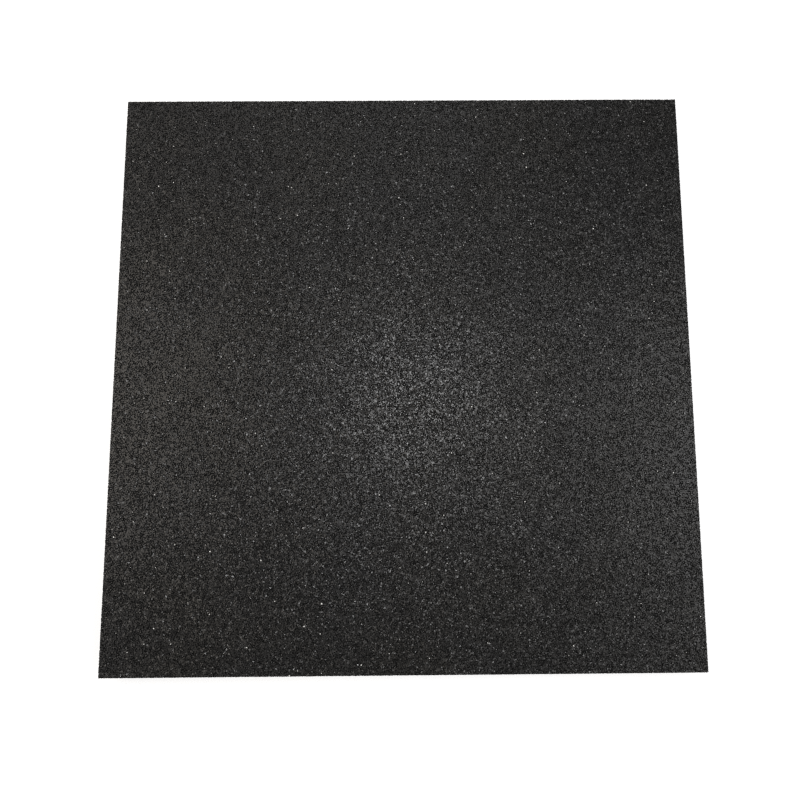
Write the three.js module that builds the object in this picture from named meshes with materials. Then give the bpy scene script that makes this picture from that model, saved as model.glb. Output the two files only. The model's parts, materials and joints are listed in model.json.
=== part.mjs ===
// A square rubber floor tile, pressed in one piece from black tyre crumb and a clear binder.
// It is a plain slab: flat above and below, with four straight sides that butt against the
// tiles around it. There are no holes, pins, studs or interlocks.
//
// Millimetres, +Z up. The tile lies flat with its wearing face upwards, its sides square to
// X and Y, and the origin at the middle of its underside.

import * as THREE from "three";

// Driving dimensions
const side = 500; // length of each of the four sides, which is also the laying module
const thickness = 20; // from the underside to the wearing face
const cornerRadius = 1.5; // the upright corners, seen from above
const arrisRadius = 0.8; // the long edges, above and below, where loose grains have rubbed away

// Fineness of the roundings
const cornerFineness = 4;
const arrisFineness = 3;

// Black crumb, dulled by the dust that it is sold with
const crumbColour = 0x333231;
const crumbRoughness = 0.6;

const quarterTurn = Math.PI / 2;

// The tile's outline, anticlockwise from above, with a quarter circle at each corner.
function tileOutline() {
  const reach = side / 2 - cornerRadius;
  const arcCentres = [
    [reach, reach],
    [-reach, reach],
    [-reach, -reach],
    [reach, -reach],
  ];
  const outline = new THREE.Shape();
  arcCentres.forEach(([x, y], corner) => {
    const start = corner * quarterTurn;
    outline.absarc(x, y, cornerRadius, start, start + quarterTurn, false);
  });
  return outline;
}

// The slab: the outline raised through the thickness, with its long edges eased.
function tileSolid() {
  const slab = new THREE.ExtrudeGeometry(tileOutline(), {
    depth: thickness - 2 * arrisRadius,
    curveSegments: cornerFineness,
    bevelEnabled: true,
    bevelThickness: arrisRadius,
    bevelSize: arrisRadius,
    bevelOffset: -arrisRadius,
    bevelSegments: arrisFineness,
  });
  return slab.translate(0, 0, arrisRadius);
}

function crumbRubber() {
  return new THREE.MeshStandardMaterial({
    color: crumbColour,
    roughness: crumbRoughness,
    metalness: 0,
  });
}

const tile = new THREE.Mesh(tileSolid(), crumbRubber());
tile.name = "tile";

const floorTile = new THREE.Group();
floorTile.add(tile);

export default floorTile;
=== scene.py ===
import json
import math

import bmesh
import bpy
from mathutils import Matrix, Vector

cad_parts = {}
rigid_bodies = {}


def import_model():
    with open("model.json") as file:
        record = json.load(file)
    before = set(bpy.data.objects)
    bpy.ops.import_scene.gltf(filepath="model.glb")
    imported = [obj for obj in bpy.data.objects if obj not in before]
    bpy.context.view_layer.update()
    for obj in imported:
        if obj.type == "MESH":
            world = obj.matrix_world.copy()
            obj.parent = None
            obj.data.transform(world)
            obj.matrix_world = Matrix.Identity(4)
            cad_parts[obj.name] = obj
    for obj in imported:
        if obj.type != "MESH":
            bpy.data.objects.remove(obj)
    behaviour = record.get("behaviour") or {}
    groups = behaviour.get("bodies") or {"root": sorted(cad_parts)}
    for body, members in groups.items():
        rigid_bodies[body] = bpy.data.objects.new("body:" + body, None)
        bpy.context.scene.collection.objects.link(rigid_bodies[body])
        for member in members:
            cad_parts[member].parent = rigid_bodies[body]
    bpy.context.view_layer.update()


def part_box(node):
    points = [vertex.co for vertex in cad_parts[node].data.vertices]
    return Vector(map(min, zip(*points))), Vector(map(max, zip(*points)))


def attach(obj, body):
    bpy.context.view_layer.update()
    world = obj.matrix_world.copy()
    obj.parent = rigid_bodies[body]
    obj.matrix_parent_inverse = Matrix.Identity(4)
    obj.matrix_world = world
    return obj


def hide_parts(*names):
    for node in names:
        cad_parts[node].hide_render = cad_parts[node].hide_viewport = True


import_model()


# The bound body
# Shredded black tyre rubber, wetted with a clear binder and cured in a steel mould in one pressing.
# Behind its outermost grains it is a closed mass, and the mould's floor leaves the underside flat.

tile_low, tile_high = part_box("tile")
tile_middle = (tile_low + tile_high) / 2
tile_size = tile_high - tile_low

# How far the mass lies behind the wearing face, and behind each side.
grain_layer = 0.0007
side_grain_layer = 0.00012

upright_corner = 0.0015
body_arris = 0.0003
rounding_cuts = 3
sharp_edge = math.radians(60)

body_roughness = 0.75
body_shine = 0.12
body_grains_per_metre = 480
body_grain_relief = 0.00025
darkest_body_grain = (0.003, 0.003, 0.003, 1)
palest_body_grain = (0.03, 0.0295, 0.029, 1)

# The seam is a share of a grain's width.
seam_width = 0.12
# The seams' near-black is painted shade in the sunk gaps between the grains.
painted_seam_shade = (0.001, 0.001, 0.001, 1)


def deselect_all():
    bpy.ops.object.select_all(action="DESELECT")


def bevel_edges(piece, wanted, width, cuts):
    """Rounds the edges of a piece for which wanted is true."""
    bpy.ops.object.mode_set(mode="EDIT")
    bpy.ops.mesh.select_mode(type="EDGE")
    bpy.ops.mesh.select_all(action="DESELECT")
    mesh = bmesh.from_edit_mesh(piece.data)
    for edge in mesh.edges:
        edge.select_set(wanted(edge))
    bmesh.update_edit_mesh(piece.data)
    bpy.ops.mesh.bevel(offset=width, segments=cuts, affect="EDGES")
    bpy.ops.object.mode_set(mode="OBJECT")


def is_upright(edge):
    return abs(edge.verts[0].co.z - edge.verts[1].co.z) > grain_layer


def is_long_arris(edge):
    return not is_upright(edge) and edge.calc_face_angle(0) > sharp_edge


deselect_all()
bpy.ops.mesh.primitive_cube_add(
    size=1,
    location=tile_middle - Vector((0, 0, grain_layer / 2)),
    scale=tile_size - Vector((2 * side_grain_layer, 2 * side_grain_layer, grain_layer)),
)
body = bpy.context.object
body.name = body.data.name = "bound_body"
bpy.ops.object.transform_apply(location=True, rotation=False, scale=True)
bevel_edges(body, is_upright, upright_corner, rounding_cuts)
bevel_edges(body, is_long_arris, body_arris, rounding_cuts)
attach(body, "root")
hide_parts("tile")

bound_rubber = bpy.data.materials.new("bound_rubber")
bound_rubber.use_nodes = True
nodes = bound_rubber.node_tree.nodes
links = bound_rubber.node_tree.links
shader = nodes["Principled BSDF"]
shader.inputs["Roughness"].default_value = body_roughness
shader.inputs["Specular IOR Level"].default_value = body_shine
place = nodes.new("ShaderNodeTexCoord")

# Each pressed grain has a grey of its own.
grains = nodes.new("ShaderNodeTexVoronoi")
grains.inputs["Scale"].default_value = body_grains_per_metre
links.new(place.outputs["Object"], grains.inputs["Vector"])
one_channel = nodes.new("ShaderNodeSeparateColor")
links.new(grains.outputs["Color"], one_channel.inputs["Color"])
grain_shade = nodes.new("ShaderNodeMix")
grain_shade.data_type = "RGBA"
grain_shade.inputs["A"].default_value = darkest_body_grain
grain_shade.inputs["B"].default_value = palest_body_grain
links.new(one_channel.outputs["Red"], grain_shade.inputs["Factor"])

# The seams between the grains are sunk, and painted shade darkens them to near black.
seams = nodes.new("ShaderNodeTexVoronoi")
seams.feature = "DISTANCE_TO_EDGE"
seams.inputs["Scale"].default_value = body_grains_per_metre
links.new(place.outputs["Object"], seams.inputs["Vector"])
clear_of_seams = nodes.new("ShaderNodeMapRange")
clear_of_seams.inputs["From Max"].default_value = seam_width
links.new(seams.outputs["Distance"], clear_of_seams.inputs["Value"])
# Painted shade: the grain's grey goes to near black towards each seam.
seam_shaded = nodes.new("ShaderNodeMix")
seam_shaded.data_type = "RGBA"
seam_shaded.inputs["A"].default_value = painted_seam_shade
links.new(clear_of_seams.outputs["Result"], seam_shaded.inputs["Factor"])
links.new(grain_shade.outputs["Result"], seam_shaded.inputs["B"])
links.new(seam_shaded.outputs["Result"], shader.inputs["Base Color"])
relief = nodes.new("ShaderNodeBump")
relief.inputs["Distance"].default_value = body_grain_relief
links.new(clear_of_seams.outputs["Result"], relief.inputs["Height"])
links.new(relief.outputs["Normal"], shader.inputs["Normal"])
body.data.materials.append(bound_rubber)


# The grains at the surface
# The same shredded rubber, sieved into four sizes from 1 to 2.4 mm: flat, torn chips with sharp
# corners. The mould's lid and walls press them level with each other and leave open gaps between.

# The name of each size, with its smallest and its largest chip.
grades = (
    ("coarse_grains", 0.0018, 0.0024),
    ("middle_grains", 0.0016, 0.0021),
    ("small_grains", 0.0013, 0.0018),
    ("fine_grains", 0.001, 0.0015),
)

# Several times more grains are tried than fit, so it is the spacing that says how many stay.
grain_spacing = 0.0012
tries_per_spot = 6.0
grains_tried_per_square_metre = tries_per_spot / grain_spacing**2

# A grain's own face lies between these, counted outwards from the mould's wall.
deepest_grain = -0.0005
proudest_grain = 0.0001
steepest_grain = math.radians(27)
pressed_arris = 0.0005

# A face of the mould that looks further down than this, as its floor does, takes no grains.
lowest_facing = -0.5

# One chip is modelled a metre wide and then scaled to its grain's size.
chip_corners = (4, 4, 4, 5)
chip_radius = 0.5
chip_depth = 0.7
chip_raggedness = 0.22
chip_face_relief = 0.3

# Nine grains in ten lie between the first two greys, and the tenth reaches up to the third.
darkest_grain = (0.007, 0.007, 0.007, 1)
pale_grain = (0.02, 0.0198, 0.0196, 1)
palest_grain = (0.031, 0.0305, 0.03, 1)
darker_share = 0.9

# The darkest grains are freshly torn and shine the most.
grain_shine = 0.45
freshly_torn = (0.22, 0.22, 0.22, 1)
worn_dull = (0.37, 0.37, 0.37, 1)

dust_patches_per_metre = 14
dust_detail = 4
clean_below = 0.35
clean_tint = (1.0, 0.98, 1.0, 1)
dusty_above = 0.65
dusty_tint = (1.1, 1.03, 0.92, 1)

tears_per_metre = 1400
tear_detail = 2
tear_depth = 0.00004

# Each kind of chance has a seed of its own.
spot_seed = 5
grade_seed = 77
swing_seed = 12
chip_seed = 31
size_seed = 44
depth_seed = 51
shade_seed = 61


def colour_ramp(nodes, *stops):
    """A ramp that has the given colours at the given positions."""
    ramp = nodes.new("ShaderNodeValToRGB")
    steps = ramp.color_ramp.elements
    while len(steps) < len(stops):
        steps.new(1.0)
    for step, (position, colour) in zip(steps, stops):
        step.position = position
        step.color = colour
    return ramp


grain_rubber = bpy.data.materials.new("grain_rubber")
grain_rubber.use_nodes = True
nodes = grain_rubber.node_tree.nodes
links = grain_rubber.node_tree.links
shader = nodes["Principled BSDF"]
shader.inputs["Specular IOR Level"].default_value = grain_shine
place = nodes.new("ShaderNodeTexCoord")
grain_shade = nodes.new("ShaderNodeAttribute")
grain_shade.attribute_name = "shade"
shades = colour_ramp(nodes, (0.0, darkest_grain), (darker_share, pale_grain), (1.0, palest_grain))
links.new(grain_shade.outputs["Fac"], shades.inputs["Fac"])

# Fine dust lies on the grains in faint patches.
dust = nodes.new("ShaderNodeTexNoise")
dust.inputs["Scale"].default_value = dust_patches_per_metre
dust.inputs["Detail"].default_value = dust_detail
links.new(place.outputs["Object"], dust.inputs["Vector"])
tints = colour_ramp(nodes, (clean_below, clean_tint), (dusty_above, dusty_tint))
links.new(dust.outputs["Fac"], tints.inputs["Fac"])
dusted = nodes.new("ShaderNodeMix")
dusted.data_type = "RGBA"
dusted.blend_type = "MULTIPLY"
dusted.inputs["Factor"].default_value = 1
links.new(tints.outputs["Color"], dusted.inputs["A"])
links.new(shades.outputs["Color"], dusted.inputs["B"])
links.new(dusted.outputs["Result"], shader.inputs["Base Color"])

gloss = colour_ramp(nodes, (0.0, freshly_torn), (1.0, worn_dull))
links.new(grain_shade.outputs["Fac"], gloss.inputs["Fac"])
links.new(gloss.outputs["Color"], shader.inputs["Roughness"])
torn = nodes.new("ShaderNodeTexNoise")
torn.inputs["Scale"].default_value = tears_per_metre
torn.inputs["Detail"].default_value = tear_detail
links.new(place.outputs["Object"], torn.inputs["Vector"])
tears = nodes.new("ShaderNodeBump")
tears.inputs["Distance"].default_value = tear_depth
links.new(torn.outputs["Fac"], tears.inputs["Height"])
links.new(tears.outputs["Normal"], shader.inputs["Normal"])

# Four torn chips stand for all of them: a blunt point below, and a ragged flat face above.
chips = bpy.data.collections.new("chips")
bpy.context.scene.collection.children.link(chips)
for number, corners in enumerate(chip_corners):
    deselect_all()
    bpy.ops.mesh.primitive_cone_add(
        vertices=corners,
        radius1=0,
        radius2=chip_radius,
        depth=chip_depth,
        end_fill_type="NGON",
        location=(0, 0, -chip_depth / 2),
    )
    chip = bpy.context.object
    chip.name = f"chip_{number}"
    bpy.ops.object.transform_apply(location=True)
    bpy.ops.object.mode_set(mode="EDIT")
    bpy.ops.mesh.select_all(action="SELECT")
    bpy.ops.transform.vertex_random(
        offset=chip_raggedness, uniform=0.0, normal=0.0, seed=number + 1
    )
    bpy.ops.mesh.select_all(action="DESELECT")
    ragged = bmesh.from_edit_mesh(chip.data)
    for corner in ragged.verts:
        corner.select_set(corner.co.z > -chip_depth / 2)
    ragged.select_flush_mode()
    bmesh.update_edit_mesh(chip.data)
    bpy.ops.transform.resize(value=(1, 1, chip_face_relief), center_override=(0, 0, 0))
    bpy.ops.object.mode_set(mode="OBJECT")
    chip.data.materials.append(grain_rubber)
    for collection in chip.users_collection:
        collection.objects.unlink(chip)
    chips.objects.link(chip)


def press_grains(name, rubber, sizes, deepest, spacing, tried_per_square_metre, part, parts):
    """Presses one part of the parts of all chips into the upper face and sides of the mould."""
    deselect_all()
    bpy.ops.mesh.primitive_cube_add(size=1, location=tile_middle, scale=tile_size)
    grains = bpy.context.object
    grains.name = grains.data.name = name
    bpy.ops.object.transform_apply(location=True, rotation=False, scale=True)

    tree = bpy.data.node_groups.new(name, "GeometryNodeTree")
    tree.interface.new_socket(
        name="Geometry", in_out="INPUT", socket_type="NodeSocketGeometry"
    )
    tree.interface.new_socket(
        name="Geometry", in_out="OUTPUT", socket_type="NodeSocketGeometry"
    )

    def connect(value, socket):
        """Links one socket to another, or sets it to a plain value."""
        if isinstance(value, bpy.types.NodeSocket):
            tree.links.new(value, socket)
        else:
            socket.default_value = value

    def reckon(operation, first, second=0.0, third=0.0):
        node = tree.nodes.new("ShaderNodeMath")
        node.operation = operation
        for value, socket in zip((first, second, third), node.inputs):
            connect(value, socket)
        return node.outputs["Value"]

    def combine(operation, first, second):
        node = tree.nodes.new("ShaderNodeVectorMath")
        node.operation = operation
        connect(first, node.inputs[0])
        connect(second, node.inputs[1])
        return node.outputs["Vector"]

    def chance(kind, low, high, seed):
        """A value between two ends, drawn for each grain."""
        node = tree.nodes.new("FunctionNodeRandomValue")
        node.data_type = kind
        for socket in node.inputs:
            if socket.enabled and socket.name == "Min":
                socket.default_value = low
            if socket.enabled and socket.name == "Max":
                socket.default_value = high
        node.inputs["Seed"].default_value = seed
        return next(socket for socket in node.outputs if socket.enabled)

    # Spots for the grains, on all faces but the underside.
    mould = tree.nodes.new("NodeGroupInput").outputs["Geometry"]
    facing = tree.nodes.new("ShaderNodeSeparateXYZ")
    outward = tree.nodes.new("GeometryNodeInputNormal").outputs["Normal"]
    tree.links.new(outward, facing.inputs["Vector"])
    not_below = reckon("GREATER_THAN", facing.outputs["Z"], lowest_facing)
    spots = tree.nodes.new("GeometryNodeDistributePointsOnFaces")
    spots.distribute_method = "POISSON"
    spots.inputs["Distance Min"].default_value = spacing
    spots.inputs["Density Max"].default_value = tried_per_square_metre
    spots.inputs["Seed"].default_value = spot_seed
    tree.links.new(mould, spots.inputs["Mesh"])
    tree.links.new(not_below, spots.inputs["Selection"])
    its_part = reckon("FLOOR", chance("FLOAT", 0.0, float(parts), grade_seed))
    half_a_part = 0.5
    in_this_part = reckon("COMPARE", its_part, float(part), half_a_part)

    # Most grains lie nearly flat, a few lean up to the steepest, and each is turned its own way.
    swing = chance("FLOAT_VECTOR", (-1, -1, -1), (1, 1, 1), swing_seed)
    swing_size = combine("MAXIMUM", swing, combine("MULTIPLY", swing, (-1, -1, -1)))
    mostly_small = combine("MULTIPLY", swing, swing_size)
    lean = combine("MULTIPLY", mostly_small, (steepest_grain, steepest_grain, 0))
    turn = combine("MULTIPLY", swing, (0, 0, math.pi))
    lie = tree.nodes.new("FunctionNodeEulerToRotation")
    tree.links.new(combine("ADD", lean, turn), lie.inputs["Euler"])
    laid = tree.nodes.new("FunctionNodeRotateRotation")
    laid.rotation_space = "LOCAL"
    tree.links.new(spots.outputs["Rotation"], laid.inputs["Rotation"])
    tree.links.new(lie.outputs["Rotation"], laid.inputs["Rotate By"])

    # A chip on each spot, at its own size and depth.
    chip_box = tree.nodes.new("GeometryNodeCollectionInfo")
    chip_box.inputs["Collection"].default_value = chips
    chip_box.inputs["Separate Children"].default_value = True
    chip_box.inputs["Reset Children"].default_value = True
    which_chip = chance("INT", 0, len(chip_corners) - 1, chip_seed)
    smallest, largest = sizes
    across = chance("FLOAT_VECTOR", (smallest,) * 3, (largest,) * 3, size_seed)
    strew = tree.nodes.new("GeometryNodeInstanceOnPoints")
    strew.inputs["Pick Instance"].default_value = True
    tree.links.new(spots.outputs["Points"], strew.inputs["Points"])
    tree.links.new(in_this_part, strew.inputs["Selection"])
    tree.links.new(chip_box.outputs["Instances"], strew.inputs["Instance"])
    tree.links.new(which_chip, strew.inputs["Instance Index"])
    tree.links.new(laid.outputs["Rotation"], strew.inputs["Rotation"])
    tree.links.new(across, strew.inputs["Scale"])
    sunk_to = tree.nodes.new("ShaderNodeCombineXYZ")
    tree.links.new(chance("FLOAT", deepest, proudest_grain, depth_seed), sunk_to.inputs["Z"])
    sink = tree.nodes.new("GeometryNodeTranslateInstances")
    sink.inputs["Local Space"].default_value = True
    tree.links.new(strew.outputs["Instances"], sink.inputs["Instances"])
    tree.links.new(sunk_to.outputs["Vector"], sink.inputs["Translation"])

    # Each grain carries the number that its grey and its gloss are read from.
    shade = tree.nodes.new("GeometryNodeStoreNamedAttribute")
    shade.domain = "INSTANCE"
    shade.data_type = "FLOAT"
    shade.inputs["Name"].default_value = "shade"
    tree.links.new(sink.outputs["Instances"], shade.inputs["Geometry"])
    tree.links.new(chance("FLOAT", 0.0, 1.0, shade_seed), shade.inputs["Value"])
    real = tree.nodes.new("GeometryNodeRealizeInstances")
    tree.links.new(shade.outputs["Geometry"], real.inputs["Geometry"])

    # Nothing stands out of the mould, whose arrises are rounded.
    spot = tree.nodes.new("GeometryNodeInputPosition").outputs["Position"]
    rounding = Vector((pressed_arris,) * 3)
    inner = combine(
        "MAXIMUM", combine("MINIMUM", spot, tile_high - rounding), tile_low + rounding
    )
    outwards = combine("SUBTRACT", spot, inner)
    reach = tree.nodes.new("ShaderNodeVectorMath")
    reach.operation = "LENGTH"
    tree.links.new(outwards, reach.inputs[0])
    held = reckon("MINIMUM", 1.0, reckon("DIVIDE", pressed_arris, reach.outputs["Value"]))
    held_reach = tree.nodes.new("ShaderNodeVectorMath")
    held_reach.operation = "SCALE"
    tree.links.new(outwards, held_reach.inputs[0])
    tree.links.new(held, held_reach.inputs["Scale"])
    pressed = combine("ADD", inner, held_reach.outputs["Vector"])
    press = tree.nodes.new("GeometryNodeSetPosition")
    tree.links.new(real.outputs["Geometry"], press.inputs["Geometry"])
    tree.links.new(pressed, press.inputs["Position"])
    outlet = tree.nodes.new("NodeGroupOutput")
    tree.links.new(press.outputs["Geometry"], outlet.inputs["Geometry"])

    pressing = grains.modifiers.new("pressing", "NODES")
    pressing.node_group = tree
    bpy.ops.object.modifier_apply(modifier=pressing.name)
    grains.data.materials.clear()
    grains.data.materials.append(rubber)
    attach(grains, "root")


for part, (name, smallest, largest) in enumerate(grades):
    press_grains(
        name,
        grain_rubber,
        (smallest, largest),
        deepest_grain,
        grain_spacing,
        grains_tried_per_square_metre,
        part,
        len(grades),
    )


# The pale specks
# Crumbs of white mineral and textile cord that shredded tyres carry with them, about one in a
# hundred grains. They are smaller than the rubber and are pressed into the skin along with it.

speck_sizes = (0.0006, 0.0014)
deepest_speck = -0.0001
speck_spacing = 0.002
specks_per_square_metre = 5000
speck_roughness = 0.7

# Three specks in four are grey, and only the last few are nearly white.
darkest_speck = (0.05, 0.049, 0.047, 1)
grey_speck = (0.22, 0.217, 0.21, 1)
palest_speck = (0.95, 0.94, 0.9, 1)
grey_share = 0.75

speck_rubber = bpy.data.materials.new("pale_speck")
speck_rubber.use_nodes = True
nodes = speck_rubber.node_tree.nodes
links = speck_rubber.node_tree.links
shader = nodes["Principled BSDF"]
shader.inputs["Roughness"].default_value = speck_roughness
speck_shade = nodes.new("ShaderNodeAttribute")
speck_shade.attribute_name = "shade"
shades = colour_ramp(nodes, (0.0, darkest_speck), (grey_share, grey_speck), (1.0, palest_speck))
links.new(speck_shade.outputs["Fac"], shades.inputs["Fac"])
links.new(shades.outputs["Color"], shader.inputs["Base Color"])

press_grains(
    "pale_specks",
    speck_rubber,
    speck_sizes,
    deepest_speck,
    speck_spacing,
    specks_per_square_metre,
    0,
    1,
)

for chip in list(chips.objects):
    bpy.data.objects.remove(chip)


# The floor it lies on
# A white studio floor, lit a little from within so that the tile's own shadow washes out.

floor_size = 12
floor_grey = (0.9, 0.9, 0.9, 1)
floor_roughness = 0.9
floor_glow = 0.4

deselect_all()
bpy.ops.mesh.primitive_plane_add(size=floor_size, location=(0, 0, 0))
floor = bpy.context.object
floor.name = floor.data.name = "studio_floor"
white = bpy.data.materials.new("white_floor")
white.use_nodes = True
shader = white.node_tree.nodes["Principled BSDF"]
shader.inputs["Base Color"].default_value = floor_grey
shader.inputs["Roughness"].default_value = floor_roughness
shader.inputs["Emission Color"].default_value = (1, 1, 1, 1)
shader.inputs["Emission Strength"].default_value = floor_glow
floor.data.materials.append(white)


# The lights
# A small softbox overhead puts the sheen in the middle of the face, and six larger ones stand
# around it. Those on the left are warmer.

white_light = (1, 1, 1)
warm_light = (1, 0.93, 0.84)
mild_light = (1, 0.93, 0.88)
room_strength = 0.28

# The name of each softbox, its place, its width in metres, its watts and its colour.
softboxes = (
    ("overhead", (-0.006, 0.096, 1.6), 0.25, 5.1, white_light),
    ("left", (-0.736, 0.053, 0.9), 0.6, 2.9, warm_light),
    ("right", (0.714, -0.021, 0.9), 0.6, 2.9, white_light),
    ("front_left", (-0.777, -0.506, 0.8), 0.6, 0.3, warm_light),
    ("front_right", (0.736, -0.506, 0.8), 0.6, 0.8, white_light),
    ("back", (-0.031, 1.023, 1.2), 0.8, 2.0, white_light),
    ("back_left", (-0.918, 1.023, 1.2), 0.8, 1.5, mild_light),
)

for name, spot, size, watts, colour in softboxes:
    softbox = bpy.data.lights.new(name, "AREA")
    softbox.shape = "SQUARE"
    softbox.size = size
    softbox.energy = watts
    softbox.color = colour
    light = bpy.data.objects.new(name, softbox)
    bpy.context.scene.collection.objects.link(light)
    light.location = spot
    light.rotation_euler = (tile_middle - light.location).to_track_quat("-Z", "Y").to_euler()

world = bpy.data.worlds.new("studio")
world.use_nodes = True
room = world.node_tree.nodes["Background"]
room.inputs["Color"].default_value = (1, 1, 1, 1)
room.inputs["Strength"].default_value = room_strength
bpy.context.scene.world = world
bpy.context.scene.view_settings.view_transform = "Standard"


# The camera
# It looks almost straight down from about 0.62 m, and its shift frames the tile as in the photograph.

camera_place = (0.0161, -0.0698, 0.6237)
camera_tilt = (math.radians(7.679), math.radians(-0.325), math.radians(-0.435))
focal_length = 31.58
film_width = 36
frame_shift = (-0.0329, -0.0515)
pixel_softness = 1.35

lens = bpy.data.cameras.new("camera")
lens.sensor_width = film_width
lens.lens = focal_length
lens.shift_x, lens.shift_y = frame_shift
camera = bpy.data.objects.new("camera", lens)
bpy.context.scene.collection.objects.link(camera)
camera.location = camera_place
camera.rotation_euler = camera_tilt
bpy.context.scene.camera = camera

# A denoiser takes the fine crumb for noise and smears it, so none is used.
bpy.context.scene.cycles.use_denoising = False
bpy.context.scene.cycles.filter_width = pixel_softness
